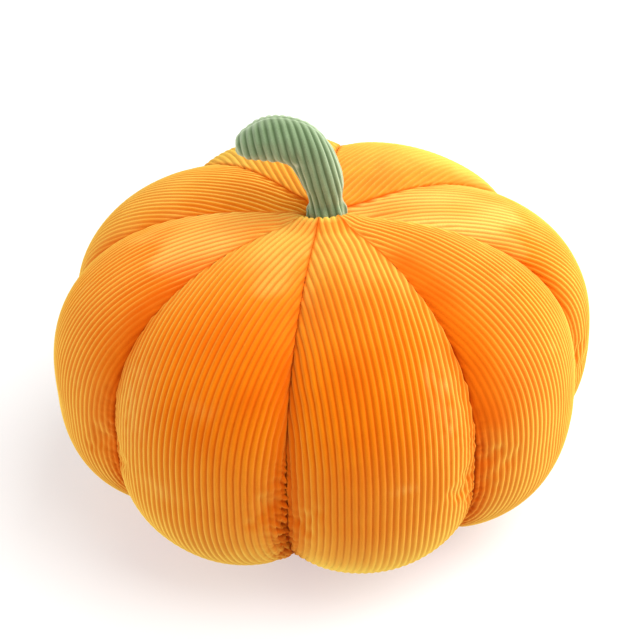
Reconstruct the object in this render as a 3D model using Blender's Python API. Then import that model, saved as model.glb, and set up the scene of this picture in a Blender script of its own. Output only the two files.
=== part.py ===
"""Pumpkin cushion: a filled round body of eight sewn lobes, with a filled, bent stem on its top.

All sizes are in metres and +Z is up. The front of the cushion faces -Y.
"""
import math

import bmesh
import bpy
import numpy as np

# The body: half its width, and its rise and drop from the widest level
RADIUS = 0.2000
TOP_RISE = 0.1280
BOTTOM_DROP = 0.1158
# How square the rounding is, sideways and upward, above and below the widest level
TOP_SPREAD = 0.715
BOTTOM_SPREAD = 1.089
TOP_FLATNESS = 0.768
BOTTOM_FLATNESS = 0.808
# Shallow hollows where the seams meet, on the top and underneath
TOP_HOLLOW = 0.0036
TOP_HOLLOW_WIDTH = 0.062
UNDER_HOLLOW = 0.028
UNDER_HOLLOW_WIDTH = 0.060
# Depth of the drawn-in seams, how fast they fade towards the middle, and the extra swell of the crowns
# round the shoulder
SEAM_DEPTH = 0.0194
TOP_SEAM_FADE = 1.987
BOTTOM_SEAM_FADE = 0.255
SHOULDER_SWELL = 0.0080
# How round the lobes are across, and how quickly the upper form gives way to the lower one
TOP_ROUNDNESS = 0.518
BOTTOM_ROUNDNESS = 0.871
ROUNDNESS_BLEND = 4.0
HEIGHT_BLEND = 8.0
# Level patch on the top that carries the stem, and the level at which the lobes are pressed flat
STEM_PATCH_RADIUS = 0.0175
FLOOR_LEVEL = -0.1045

# The lobes, anticlockwise from the front seam: the angle of the seam that starts the lobe, in degrees
# from +X, and how full the lobe is sideways, upward and downward
LOBES = (
    # name, seam angle, fullness, height, depth
    ("front right", -98.4, 1.005, 1.035, 1.065),
    ("right", -55.5, 0.992, 1.035, 1.100),
    ("far right", -11.6, 1.022, 0.991, 1.050),
    ("back right", 32.6, 1.003, 0.999, 1.050),
    ("back", 83.6, 0.998, 1.005, 1.050),
    ("back left", 128.4, 1.012, 1.000, 1.050),
    ("left", 175.1, 1.025, 1.002, 1.060),
    ("front left", 217.5, 1.022, 1.032, 1.062),
)

# The stem: sections from its foot to its tip
STEM_GAP = 0.0003
STEM_DEPTH_RATIO = 0.84
FOOT_GATHERS = 7
GATHER_DEPTH = 0.0008
STEM_SECTIONS = (
    # along x, height above the foot, half width across the bend
    (0.0024, 0.0000, 0.0150),
    (0.0023, 0.0045, 0.0146),
    (0.0023, 0.0100, 0.0124),
    (0.0021, 0.0175, 0.0138),
    (0.0015, 0.0257, 0.0151),
    (-0.0030, 0.0407, 0.0164),
    (-0.0114, 0.0539, 0.0168),
    (-0.0227, 0.0622, 0.0176),
    (-0.0362, 0.0645, 0.0174),
    (-0.0479, 0.0632, 0.0146),
    (-0.0560, 0.0611, 0.0104),
    (-0.0620, 0.0585, 0.0000),
)

COLUMNS_A_LOBE = 12
BODY_ROWS = 40
STEM_COLUMNS = 28
STEM_ROWS = 34


def fresh_collection(name):
    """Removes the scene's objects and returns an empty collection of the given name."""
    for item in list(bpy.data.objects):
        bpy.data.objects.remove(item, do_unlink=True)
    group = bpy.data.collections.new(name)
    bpy.context.scene.collection.children.link(group)
    return group


def cloth(name, colour):
    """Matt corduroy of one colour."""
    material = bpy.data.materials.new(name)
    material.use_nodes = True
    shader = material.node_tree.nodes["Principled BSDF"]
    shader.inputs["Base Color"].default_value = (*colour, 1.0)
    shader.inputs["Roughness"].default_value = 0.9
    return material


def profile(angle):
    """Distance from the axis and height of a lobe's crown at an angle from the top."""
    side, up = math.sin(angle), math.cos(angle)
    if up > 0:
        out = side ** TOP_SPREAD * RADIUS
        height = TOP_RISE * up ** TOP_FLATNESS
        height -= TOP_HOLLOW * math.exp(-(out / TOP_HOLLOW_WIDTH) ** 2)
    else:
        out = side ** BOTTOM_SPREAD * RADIUS
        height = -BOTTOM_DROP * (-up) ** BOTTOM_FLATNESS
        height += UNDER_HOLLOW * math.exp(-(out / UNDER_HOLLOW_WIDTH) ** 2)
    return out, height


def profile_normal(angle):
    """Outward direction of the crown's profile, as its parts away from the axis and upward."""
    step = 0.004
    before = profile(max(angle - step, 1e-6))
    after = profile(min(angle + step, math.pi - 1e-6))
    along_out, along_up = after[0] - before[0], after[1] - before[1]
    length = math.hypot(along_out, along_up)
    return -along_up / length, along_out / length


def lobe_point(lobe, across, angle):
    """A point of the body: across runs from -1 to 1 between the lobe's seams."""
    start, full, high, deep = LOBES[lobe][1:]
    after = LOBES[(lobe + 1) % len(LOBES)]
    before = LOBES[lobe - 1]
    end = after[1] + (360.0 if lobe == len(LOBES) - 1 else 0.0)
    turn = math.radians(start + (end - start) * (across + 1.0) / 2.0)
    upper = 1.0 / (1.0 + math.exp(-ROUNDNESS_BLEND * math.cos(angle)))
    roundness = BOTTOM_ROUNDNESS + (TOP_ROUNDNESS - BOTTOM_ROUNDNESS) * upper
    crown = max(0.0, 1.0 - across * across) ** roundness

    def between_lobes(own, previous, following):
        edge = (own + previous) / 2.0 + (following - previous) / 2.0 * (across + 1.0) / 2.0
        return edge + (own - edge) * crown

    out, height = profile(angle)
    normal_out, normal_up = profile_normal(angle)
    fade = TOP_SEAM_FADE if angle < math.pi / 2.0 else BOTTOM_SEAM_FADE
    swell = SHOULDER_SWELL * math.sin(angle) * max(math.cos(angle), 0.0) * crown
    drawn_in = SEAM_DEPTH * math.sin(angle) ** fade * (1.0 - crown) - swell
    out = (out - normal_out * drawn_in) * between_lobes(full, before[2], after[2])
    upper = 1.0 / (1.0 + math.exp(-HEIGHT_BLEND * math.cos(angle)))
    tall = upper * between_lobes(high, before[3], after[3])
    tall += (1.0 - upper) * between_lobes(deep, before[4], after[4])
    height = (height - normal_up * drawn_in) * tall
    return out * math.cos(turn), out * math.sin(turn), height


def row_angles():
    """Angles of the rows from the top to the underside; the first one bounds the stem's patch."""
    first = math.asin((STEM_PATCH_RADIUS / RADIUS) ** (1.0 / TOP_SPREAD))
    steps = BODY_ROWS - 2
    return [first + (math.pi - 0.02 - first) * row / steps for row in range(steps + 1)]


def make_body(group, material):
    """The filled body, from a sphere whose points are moved onto the lobes."""
    columns = COLUMNS_A_LOBE * len(LOBES)
    mesh = bpy.data.meshes.new("body")
    bm = bmesh.new()
    bmesh.ops.create_uvsphere(bm, u_segments=columns, v_segments=BODY_ROWS, radius=1.0)
    rows = row_angles()
    patch_height = profile(rows[0])[1]
    for vert in bm.verts:
        row = round(math.acos(max(-1.0, min(1.0, vert.co.z))) / math.pi * BODY_ROWS)
        if row == 0:
            vert.co = (0.0, 0.0, patch_height)
            continue
        if row == BODY_ROWS:
            vert.co = (0.0, 0.0, profile(math.pi - 1e-4)[1])
            continue
        column = round(math.atan2(vert.co.y, vert.co.x) / (2.0 * math.pi) * columns) % columns
        lobe, place = divmod(column, COLUMNS_A_LOBE)
        across = 2.0 * place / COLUMNS_A_LOBE - 1.0
        across = (across + math.sin(across * math.pi / 2.0)) / 2.0
        x, y, z = lobe_point(lobe, across, rows[row - 1])
        vert.co = (x, y, patch_height if row == 1 else z)
    for vert in bm.verts:
        vert.co.z = max(vert.co.z, FLOOR_LEVEL)
    bm.to_mesh(mesh)
    bm.free()
    mesh.materials.append(material)
    body = bpy.data.objects.new("body", mesh)
    group.objects.link(body)
    for face in mesh.polygons:
        face.use_smooth = True
    return body, patch_height


def smooth_sections(count):
    """Sections evenly spaced along the stem, on a smooth line through its table."""
    table = np.array(STEM_SECTIONS)
    steps = np.hypot(np.diff(table[:, 0]), np.diff(table[:, 1]))
    length = np.concatenate(([0.0], np.cumsum(steps)))
    padded = np.vstack((2.0 * table[0] - table[1], table, 2.0 * table[-1] - table[-2]))
    result = []
    for step in range(count):
        at = length[-1] * step / (count - 1)
        k = min(int(np.searchsorted(length, at, side="right")) - 1, len(table) - 2)
        u = (at - length[k]) / (length[k + 1] - length[k])
        a, b, c, d = padded[k:k + 4]
        result.append(0.5 * (2.0 * b + (c - a) * u + (2.0 * a - 5.0 * b + 4.0 * c - d) * u * u
                             + (3.0 * b - a - 3.0 * c + d) * u ** 3))
    return result


def make_stem(group, material, seat):
    """The filled stem, from a sphere drawn out along its bent line."""
    mesh = bpy.data.meshes.new("stem")
    bm = bmesh.new()
    bmesh.ops.create_uvsphere(bm, u_segments=STEM_COLUMNS, v_segments=STEM_ROWS, radius=1.0)
    sections = smooth_sections(STEM_ROWS)
    for vert in bm.verts:
        row = round((1.0 - math.acos(max(-1.0, min(1.0, vert.co.z))) / math.pi) * STEM_ROWS)
        place = max(row - 1, 0)
        x, z, half = sections[place]
        if row == 0 or row == STEM_ROWS:
            vert.co = (x, 0.0, z + seat)
            continue
        before = sections[max(place - 1, 0)]
        after = sections[min(place + 1, STEM_ROWS - 1)]
        along_x, along_z = after[0] - before[0], after[1] - before[1]
        size = math.hypot(along_x, along_z)
        if place == 0:
            along_x, along_z, size = 0.0, 1.0, 1.0
        turn = math.atan2(vert.co.y, vert.co.x)
        gather = GATHER_DEPTH * math.cos(FOOT_GATHERS * turn) * math.exp(-(z / 0.008) ** 2)
        wide = (max(half, 0.0) + gather) * math.cos(turn)
        deep = (max(half, 0.0) * STEM_DEPTH_RATIO + gather) * math.sin(turn)
        vert.co = (x + wide * along_z / size, deep, z + seat - wide * along_x / size)
    bm.to_mesh(mesh)
    bm.free()
    mesh.materials.append(material)
    stem = bpy.data.objects.new("stem", mesh)
    group.objects.link(stem)
    for face in mesh.polygons:
        face.use_smooth = True
    return stem


def set_on_origin(parts):
    """Moves the parts so that the middle of their box stands on the origin."""
    points = [vert.co for part in parts for vert in part.data.vertices]
    low = [min(point[axis] for point in points) for axis in range(3)]
    high = [max(point[axis] for point in points) for axis in range(3)]
    shift = (-(low[0] + high[0]) / 2.0, -(low[1] + high[1]) / 2.0, -low[2])
    for part in parts:
        for vert in part.data.vertices:
            for axis in range(3):
                vert.co[axis] += shift[axis]


def main():
    group = fresh_collection("pumpkin_cushion")
    orange = cloth("orange_corduroy", (0.87, 0.25, 0.01))
    sage = cloth("sage_corduroy", (0.27, 0.43, 0.25))
    body, patch_height = make_body(group, orange)
    stem = make_stem(group, sage, patch_height + STEM_GAP)
    set_on_origin((body, stem))


main()
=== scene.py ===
"""A pumpkin cushion of wide-wale corduroy: a round body of eight sewn gores, and a filled, bent stem.

All sizes are in metres and +Z is up. The front of the cushion faces -Y.
"""

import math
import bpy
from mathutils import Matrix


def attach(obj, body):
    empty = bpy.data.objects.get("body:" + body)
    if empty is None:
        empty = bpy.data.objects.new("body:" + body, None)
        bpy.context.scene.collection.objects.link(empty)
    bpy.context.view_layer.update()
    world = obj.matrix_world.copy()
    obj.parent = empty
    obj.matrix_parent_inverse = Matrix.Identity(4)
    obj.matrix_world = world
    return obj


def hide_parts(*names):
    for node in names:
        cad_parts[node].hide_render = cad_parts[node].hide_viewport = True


bl_info = {
    "name": "Pumpkin Cushion",
    "version": (1, 0, 0),
    "blender": (4, 5, 0),
    "location": "View3D > Sidebar > Cushion",
    "description": "Builds a corduroy pumpkin cushion, its stem and a plain studio round it",
    "category": "Add Mesh",
}

import bmesh
import bpy
import numpy as np
from mathutils import Matrix, Vector, noise
from mathutils.kdtree import KDTree

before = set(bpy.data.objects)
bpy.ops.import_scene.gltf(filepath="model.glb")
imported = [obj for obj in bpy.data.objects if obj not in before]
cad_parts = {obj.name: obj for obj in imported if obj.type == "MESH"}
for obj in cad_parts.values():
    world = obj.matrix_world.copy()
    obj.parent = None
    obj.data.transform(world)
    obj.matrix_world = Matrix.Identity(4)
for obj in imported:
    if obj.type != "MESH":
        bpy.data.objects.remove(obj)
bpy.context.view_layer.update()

# The body: half its width, and its rise and drop from the widest level
RADIUS = 0.2000
TOP_RISE = 0.1280
BOTTOM_DROP = 0.1158
# How square the rounding is, sideways and upward, above and below the widest level
TOP_SPREAD = 0.715
BOTTOM_SPREAD = 1.000
TOP_FLATNESS = 0.768
BOTTOM_FLATNESS = 0.808
# Shallow hollows where the seams meet, on the top and underneath
TOP_HOLLOW = 0.0036
TOP_HOLLOW_WIDTH = 0.062
UNDER_HOLLOW = 0.028
UNDER_HOLLOW_WIDTH = 0.060
# Depth of the drawn-in seams, how fast they fade towards the middle, and the swell round the shoulder
SEAM_DEPTH = 0.0194
TOP_SEAM_FADE = 1.987
BOTTOM_SEAM_FADE = 0.255
SHOULDER_SWELL = 0.0080
# How round the lobes are across, and how quickly the upper form gives way to the lower one
TOP_ROUNDNESS = 0.518
BOTTOM_ROUNDNESS = 0.871
ROUNDNESS_BLEND = 4.0
HEIGHT_BLEND = 8.0
# The level at which the lobes are pressed flat, the stem's seat, and the body's place over the origin
FLOOR_LEVEL = -0.1045
SEAT_LEVEL = 0.12462
SEAT_RADIUS = 0.0170
# The body's cloth lies this far under the stem's foot, deeper in the middle, and falls away outside it
SEAT_GAP = 0.0012
SEAT_HOLLOW = 0.0020
SEAT_SLOPE = 2.5
PLACE = np.array((-0.00097, 0.00111, -FLOOR_LEVEL))

LOBES = (
    # name, seam angle in degrees from +X, fullness, height, depth
    ("front right", -98.4, 1.005, 1.035, 1.065),
    ("right", -55.5, 0.990, 1.035, 1.062),
    ("far right", -11.6, 1.026, 0.962, 1.050),
    ("back right", 32.6, 1.003, 0.999, 1.050),
    ("back", 83.6, 1.006, 1.030, 1.050),
    ("back left", 128.4, 1.012, 0.990, 1.050),
    ("left", 175.1, 1.025, 1.002, 1.060),
    ("front left", 217.5, 1.022, 1.032, 1.062),
)

PRESSED_AND_SHADED = (
    # gore, side of it, from angle, to angle, reach from the seam, how flat its wales are pressed and how
    # strongly painted shade darkens them
    ("right", -1, 0.25, 1.35, 0.032, 0.90),
    ("left", 1, 0.55, 1.70, 0.022, 0.65),
    ("front left", 1, 0.75, 1.35, 0.010, 0.40),
    ("back left", 1, 0.50, 1.60, 0.016, 0.50),
    ("far right", -1, 0.90, 1.70, 0.012, 0.50),
    ("back right", -1, 0.50, 1.50, 0.016, 0.50),
)
GATHERED = (
    # gore, side of it, from angle, to angle, depth of the puckers, reach from the seam
    ("front left", 1, 1.30, 2.45, 0.0030, 0.0045),
    ("front left", 1, 1.55, 2.20, 0.0034, 0.0060),
    ("front right", -1, 1.35, 2.50, 0.0008, 0.0035),
    ("front right", 1, 0.75, 1.75, 0.0006, 0.0120),
    ("front left", -1, 0.95, 1.65, 0.0007, 0.0100),
    ("right", -1, 1.15, 2.10, 0.0010, 0.0060),
    ("left", 1, 1.20, 2.00, 0.0011, 0.0060),
    ("back", 1, 1.20, 2.10, 0.0012, 0.0060),
    ("back right", 1, 1.00, 1.90, 0.0010, 0.0070),
    ("back left", -1, 1.30, 2.20, 0.0012, 0.0060),
)
# Painted highlight: bands where the lit cloth is painted pale, mostly round the top
PAINTED_HIGHLIGHT_BANDS = (
    # gore, from angle, to angle, how strong the painted highlight is
    ("far right", 0.00, 0.55, 1.00),
    ("left", 0.00, 0.45, 0.80),
    ("left", 0.60, 1.70, 0.15),
    ("front left", 0.00, 0.18, 0.50),
    ("front right", 0.00, 0.26, 0.20),
    ("right", 0.00, 0.26, 0.20),
    ("right", 0.90, 2.20, 0.12),
    ("back right", 1.20, 2.40, 0.40),
    ("back", 0.90, 1.90, 0.40),
    ("back left", 1.10, 2.20, 0.30),
)
# Painted highlight in soft patches
PAINTED_HIGHLIGHT_MARKS = (
    # gore, place across it from -1 to 1, angle, half width and half height in metres, strength
    ("front right", 0.50, 0.93, 0.0040, 0.0060, 0.80),
    ("front right", 0.66, 0.98, 0.0060, 0.0040, 0.60),
    ("front right", 0.60, 1.20, 0.0030, 0.0050, 0.70),
    ("front right", 0.66, 1.08, 0.0160, 0.0340, 0.35),
    ("front right", 0.10, 1.45, 0.0100, 0.0040, 0.30),
    ("front left", -0.62, 1.22, 0.0200, 0.0360, 0.50),
    ("front left", 0.20, 1.05, 0.0120, 0.0060, 0.15),
    ("front left", -0.20, 1.55, 0.0150, 0.0080, 0.35),
    ("right", 0.15, 1.10, 0.0100, 0.0050, 0.40),
    ("right", 0.30, 0.70, 0.0120, 0.0060, 0.40),
    ("far right", 0.20, 0.80, 0.0160, 0.0080, 0.40),
    ("left", -0.10, 0.90, 0.0160, 0.0080, 0.40),
    ("left", 0.50, 1.30, 0.0100, 0.0080, 0.35),
    ("back left", 0.10, 1.10, 0.0140, 0.0070, 0.40),
    ("back", -0.30, 1.20, 0.0140, 0.0070, 0.40),
    ("back right", 0.25, 1.00, 0.0140, 0.0080, 0.40),
)
# Soft patches of painted shade, darkening the cloth towards the deep colour
PAINTED_SHADE_MARKS = (
    # gore, place across it from -1 to 1, angle, half width and half height in metres, strength
    ("front left", 0.05, 0.75, 0.022, 0.032, 0.50),
    ("front left", 0.62, 0.98, 0.014, 0.028, 0.45),
    ("front left", 0.15, 1.25, 0.020, 0.014, 0.35),
    ("front right", -0.75, 0.50, 0.014, 0.030, 0.40),
    ("front right", -0.35, 0.78, 0.018, 0.026, 0.45),
    ("front right", -0.20, 1.28, 0.030, 0.018, 0.35),
    ("right", -0.70, 0.45, 0.016, 0.032, 0.45),
    ("right", -0.72, 1.20, 0.0140, 0.0600, 0.40),
    ("left", 0.92, 0.55, 0.022, 0.044, 0.90),
    ("left", 0.55, 0.90, 0.018, 0.030, 0.40),
    ("back right", 0.05, 0.32, 0.026, 0.050, 1.00),
    ("back right", 0.30, 1.30, 0.024, 0.020, 0.35),
    ("back", 0.25, 1.05, 0.022, 0.024, 0.40),
    ("back left", -0.20, 1.05, 0.022, 0.020, 0.35),
    ("far right", 0.35, 1.20, 0.020, 0.024, 0.30),
)
UNEVEN_SEAMS = (
    # gore after the seam, from angle, to angle, sideways wander
    ("front right", 1.20, 2.60, 0.0012),
    ("right", 0.80, 2.10, 0.0006),
    ("front left", 0.80, 2.10, 0.0005),
    ("back", 1.00, 2.20, 0.0008),
)

# Columns of points across one wale, as shares of its width from one valley to the next
WALE_COLUMNS = (0.0, 0.22, 0.5, 0.78)
ROW_STEPS = (
    # angle, distance between rows of points
    (0.00, 0.0064),
    (1.10, 0.0064),
    (1.32, 0.0022),
    (2.05, 0.0022),
    (2.30, 0.0080),
    (3.14, 0.0100),
)
# Half the number of steps in which a gore's width is measured
HALF_GORE_STEPS = 120
GATHER_PITCH = 0.0060
# The pucker depth at which the painted shade in its valley is full, and the distance from a seam that a map
# gives as 1
DEEP_PUCKER = 0.0016
MAP_REACH = 0.1
# The coarse casing whose filling is simulated: its points across and along a gore, the steps of the
# simulation, how far it starts inside its form, and how much its moves are evened and held back
CASING_COLUMNS = 21
CASING_ROWS = 81
CASING_STEPS = 20
CASING_SLACK = 0.0030
FILLING_PRESSURE = 4.0
CLOTH_EASE = 0.010
MOST_SWELL = 0.0045
EVENING_ROUNDS = 12
# The part of each seam that has stitches, by its angles, and the stitches
STITCHED = (0.30, 2.60)
STITCH_STEP = 0.0046
STITCH_LENGTH = 0.0026
THREAD_RADIUS = 0.00045
STITCH_RISE = 0.0005

STEM_DEPTH_RATIO = 0.84
STEM_SECTIONS = (
    # along x, height above the foot, half width across the bend
    (0.0028, 0.0000, 0.0144),
    (0.0027, 0.0045, 0.0140),
    (0.0023, 0.0100, 0.0122),
    (0.0017, 0.0175, 0.0132),
    (0.0006, 0.0257, 0.0143),
    (-0.0045, 0.0405, 0.0158),
    (-0.0127, 0.0538, 0.0166),
    (-0.0238, 0.0602, 0.0171),
    (-0.0362, 0.0616, 0.0166),
    (-0.0470, 0.0586, 0.0138),
    (-0.0545, 0.0548, 0.0098),
    (-0.0602, 0.0510, 0.0000),
)
STEM_COLUMNS = 168
STEM_ROWS = 170
STEM_WALE_LEAN = 13.0
# The stem's wales are a little wider than the body's
STEM_WALE_SIZE = 1.10
# Rings of points under the foot, and the foot's height over its seat
FOOT_RINGS = 4
FOOT_GAP = 0.0003
TIP_LENGTH = 0.0085
TIP_RADIUS = 0.0122
# A worn place on the stem, inside its bend: along x, height above the foot, half width and half height
STEM_MARK = (-0.0188, 0.0458, 0.0040, 0.0020)
STEM_MARK_EDGE = (-0.0228, 0.0528, 0.0072, 0.0036)
# The cloth of the body rises round the stem's foot
FOOT_RIM_RADIUS = 0.0210
FOOT_RIM_WIDTH = 0.0085
FOOT_RIM_RISE = 0.0052

# The camera: its turn above the level, its distance, its aim over the body's middle, and its picture
CAMERA_RISE = 34.714
CAMERA_ROLL = -0.706
CAMERA_DISTANCE = 1.3276
CAMERA_AIM = (-0.0030, 0.0, 0.0312)
CAMERA_LENS = 99.2
CAMERA_SENSOR = 36.0

LIGHTS = (
    # name, place, aim, size, power, colour
    ("key", (1.00, -0.14, 1.48), (0.0, 0.0, 0.12), 2.2, 67.0, (1.0, 0.99, 0.96)),
    ("left_fill", (-1.80, -0.50, 0.40), (0.0, 0.0, 0.10), 1.0, 15.0, (1.0, 1.0, 1.0)),
    ("fill", (-0.6, -1.6, 1.3), (0.0, 0.0, 0.10), 1.4, 3.0, (1.0, 1.0, 1.0)),
)
SKY_COLOUR = (1.0, 0.99, 0.97, 1.0)
SKY_STRENGTH = 0.44
FLOOR_REACH = 30.0
FLOOR_GAP = 0.0005

# Maps on the cloth, each of two numbers for a point: its place in wales, across and along; its distance from
# a seam and how flat it is pressed and painted with shade; its painted highlight and its painted floor bounce
# (on the stem, its worn place and the edge of it); its painted shade in the puckers and in patches
CLOTH_MAPS = ("Cloth", "Place", "Painted light and wear", "Fold and patch shade")

# Each corduroy's finish and painted light, by the names of the node group's inputs: the colours of its
# painted highlight and its painted floor bounce (on the stem, of its worn place and the edge of it), its
# ridge, the reach of its painted crease shade and its rim share; and the colours of its sheen and its fuzz
ORANGE_FINISH_AND_PAINTED_LIGHT = {
    "Paler": (0.80, 0.53, 0.130, 1.0),
    "Floor bounce and wear edge": (0.48, 0.195, 0.022, 1.0),
    "Ridge": 0.10,
    "Crease reach": 0.22,
    "Rim share": 1.02,
}
ORANGE_SHEEN = (1.0, 0.34, 0.004, 1.0)
ORANGE_FUZZ = (0.84, 0.60, 0.110, 1.0)
SAGE_FINISH_AND_PAINTED_LIGHT = {
    "Paler": (0.52, 0.60, 0.44, 1.0),
    "Floor bounce and wear edge": (0.11, 0.19, 0.08, 1.0),
    "Ridge": 0.02,
    "Crease reach": 0.03,
    "Rim share": 0.75,
}
SAGE_SHEEN = (0.92, 1.0, 0.85, 1.0)
SAGE_FUZZ = (0.55, 0.68, 0.46, 1.0)


class ClothSizes(bpy.types.PropertyGroup):
    """Sizes of the corduroy."""

    wale_pitch: bpy.props.FloatProperty(
        name="Wale pitch", description="Width of one wale of the corduroy",
        default=0.00485, min=0.002, max=0.01, precision=5, unit="LENGTH")
    wale_height: bpy.props.FloatProperty(
        name="Wale height", description="Height of a wale above the valleys beside it",
        default=0.0014, min=0.0, max=0.004, precision=5, unit="LENGTH")
    waviness: bpy.props.FloatProperty(
        name="Waviness", description="How far the wales wander sideways in the cloth",
        default=0.0004, min=0.0, max=0.003, precision=5, unit="LENGTH")
    pucker: bpy.props.FloatProperty(
        name="Seam pucker", description="Depth of the puckers beside the seams",
        default=0.0016, min=0.0, max=0.005, precision=5, unit="LENGTH")


class ClothColours(bpy.types.PropertyGroup):
    """Colours of the cloths and the thread."""

    orange: bpy.props.FloatVectorProperty(
        name="Orange", description="Pile of the body's corduroy", subtype="COLOR",
        default=(0.66, 0.163, 0.003), min=0.0, max=1.0)
    # The deep orange is also the painted shade in the creases, the wale valleys, the seams and the shaded
    # patches
    orange_deep: bpy.props.FloatVectorProperty(
        name="Deep orange", description="Valleys and creases of the body", subtype="COLOR",
        default=(0.60, 0.082, 0.001), min=0.0, max=1.0)
    orange_pale: bpy.props.FloatVectorProperty(
        name="Pale orange", description="Brushed pile of the body", subtype="COLOR",
        default=(0.74, 0.232, 0.006), min=0.0, max=1.0)
    sage: bpy.props.FloatVectorProperty(
        name="Sage", description="Pile of the stem's corduroy", subtype="COLOR",
        default=(0.200, 0.285, 0.155), min=0.0, max=1.0)
    # The deep sage is also the painted shade in the stem's wale valleys
    sage_deep: bpy.props.FloatVectorProperty(
        name="Deep sage", description="Valleys of the stem", subtype="COLOR",
        default=(0.045, 0.085, 0.028), min=0.0, max=1.0)
    sage_pale: bpy.props.FloatVectorProperty(
        name="Pale sage", description="Brushed pile of the stem", subtype="COLOR",
        default=(0.29, 0.38, 0.225), min=0.0, max=1.0)
    thread: bpy.props.FloatVectorProperty(
        name="Thread", description="Seam thread", subtype="COLOR",
        default=(0.36, 0.045, 0.003), min=0.0, max=1.0)


def profile(angle):
    """Distance from the axis and height of a lobe's crown at an angle from the top."""
    side, up = np.sin(angle), np.cos(angle)
    above = up > 0
    out = RADIUS * np.where(above, side ** TOP_SPREAD, side ** BOTTOM_SPREAD)
    top = TOP_RISE * np.clip(up, 0.0, 1.0) ** TOP_FLATNESS
    top = top - TOP_HOLLOW * np.exp(-(out / TOP_HOLLOW_WIDTH) ** 2)
    under = -BOTTOM_DROP * np.clip(-up, 0.0, 1.0) ** BOTTOM_FLATNESS
    under = under + UNDER_HOLLOW * np.exp(-(out / UNDER_HOLLOW_WIDTH) ** 2)
    return out, np.where(above, top, under)


def lobe_surface(lobe, across, angle):
    """Points of a lobe: across runs from -1 to 1 between its seams, and angle from the top down."""
    start, full, high, deep = LOBES[lobe][1:]
    before, after = LOBES[lobe - 1], LOBES[(lobe + 1) % len(LOBES)]
    end = after[1] + (360.0 if lobe == len(LOBES) - 1 else 0.0)
    turn = np.radians(start + (end - start) * (across + 1.0) / 2.0)
    upper = 1.0 / (1.0 + np.exp(-ROUNDNESS_BLEND * np.cos(angle)))
    roundness = BOTTOM_ROUNDNESS + (TOP_ROUNDNESS - BOTTOM_ROUNDNESS) * upper
    crown = np.clip(1.0 - across * across, 0.0, 1.0) ** roundness

    def between_lobes(own, previous, following):
        edge = (own + previous) / 2.0 + (following - previous) / 2.0 * (across + 1.0) / 2.0
        return edge + (own - edge) * crown

    step = 0.004
    out, height = profile(angle)
    out_before, height_before = profile(np.clip(angle - step, 1e-6, None))
    out_after, height_after = profile(np.clip(angle + step, None, math.pi - 1e-6))
    along_out, along_up = out_after - out_before, height_after - height_before
    length = np.hypot(along_out, along_up)
    fade = np.where(angle < math.pi / 2.0, TOP_SEAM_FADE, BOTTOM_SEAM_FADE)
    swell = SHOULDER_SWELL * np.sin(angle) * np.clip(np.cos(angle), 0.0, 1.0) * crown
    drawn_in = SEAM_DEPTH * np.sin(angle) ** fade * (1.0 - crown) - swell
    out = (out + along_up / length * drawn_in) * between_lobes(full, before[2], after[2])
    upper = 1.0 / (1.0 + np.exp(-HEIGHT_BLEND * np.cos(angle)))
    tall = upper * between_lobes(high, before[3], after[3])
    tall = tall + (1.0 - upper) * between_lobes(deep, before[4], after[4])
    height = (height - along_out / length * drawn_in) * tall
    return np.stack((out * np.cos(turn), out * np.sin(turn), height), -1) + PLACE


def surface_normals(lobe, across, angle):
    """Outward directions of a lobe's surface."""
    step = 0.01
    inner = np.clip(across, -0.985, 0.985)
    level = np.clip(angle, 0.02, math.pi - 0.02)
    sideways = lobe_surface(lobe, inner + step, level) - lobe_surface(lobe, inner - step, level)
    downward = lobe_surface(lobe, inner, level + step) - lobe_surface(lobe, inner, level - step)
    normal = np.cross(downward, sideways)
    return normal / np.linalg.norm(normal, axis=-1, keepdims=True)


def soft_noise(points):
    """Smooth, repeatable noise from -1 to 1 at a list of points, in their own units."""
    values = [noise.noise(Vector(point)) for point in points.reshape(-1, 3)]
    return np.array(values).reshape(points.shape[:-1])


def wale_profile(place, fullness=2.3):
    """Height of the pile across a wale, from 0 in the valleys to 1 on the crown."""
    share = place - np.floor(place)
    return 1.0 - np.abs(2.0 * share - 1.0) ** fullness


def grid_mesh(name, points, maps):
    """A mesh of a grid of points, with named maps of one pair of numbers for each point."""
    rows, columns = points.shape[:2]
    bm = bmesh.new()
    bmesh.ops.create_grid(bm, x_segments=columns - 1, y_segments=rows - 1, size=0.5)
    mesh = bpy.data.meshes.new(name)
    bm.to_mesh(mesh)
    bm.free()
    flat = np.empty(len(mesh.vertices) * 3)
    mesh.vertices.foreach_get("co", flat)
    flat = flat.reshape(-1, 3)
    column = np.rint((flat[:, 0] + 0.5) * (columns - 1)).astype(int)
    row = np.rint((flat[:, 1] + 0.5) * (rows - 1)).astype(int)
    mesh.vertices.foreach_set("co", points[row, column].ravel())
    corners = np.empty(len(mesh.loops), dtype=np.int32)
    mesh.loops.foreach_get("vertex_index", corners)
    for key, values in maps.items():
        layer = mesh.uv_layers.new(name=key)
        layer.data.foreach_set("uv", values[row, column][corners].astype(np.float32).ravel())
    return mesh


def joined(name, meshes, merge=1e-5):
    """One object of several meshes, with their shared points merged and its faces outward."""
    bm = bmesh.new()
    for mesh in meshes:
        bm.from_mesh(mesh)
        bpy.data.meshes.remove(mesh)
    bmesh.ops.remove_doubles(bm, verts=bm.verts, dist=merge)
    bmesh.ops.dissolve_degenerate(bm, edges=bm.edges, dist=1e-6)
    bmesh.ops.recalc_face_normals(bm, faces=bm.faces)
    mesh = bpy.data.meshes.new(name)
    bm.to_mesh(mesh)
    bm.free()
    mesh.polygons.foreach_set("use_smooth", np.ones(len(mesh.polygons), dtype=bool))
    piece = bpy.data.objects.new(name, mesh)
    bpy.context.scene.collection.objects.link(piece)
    return piece


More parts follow.
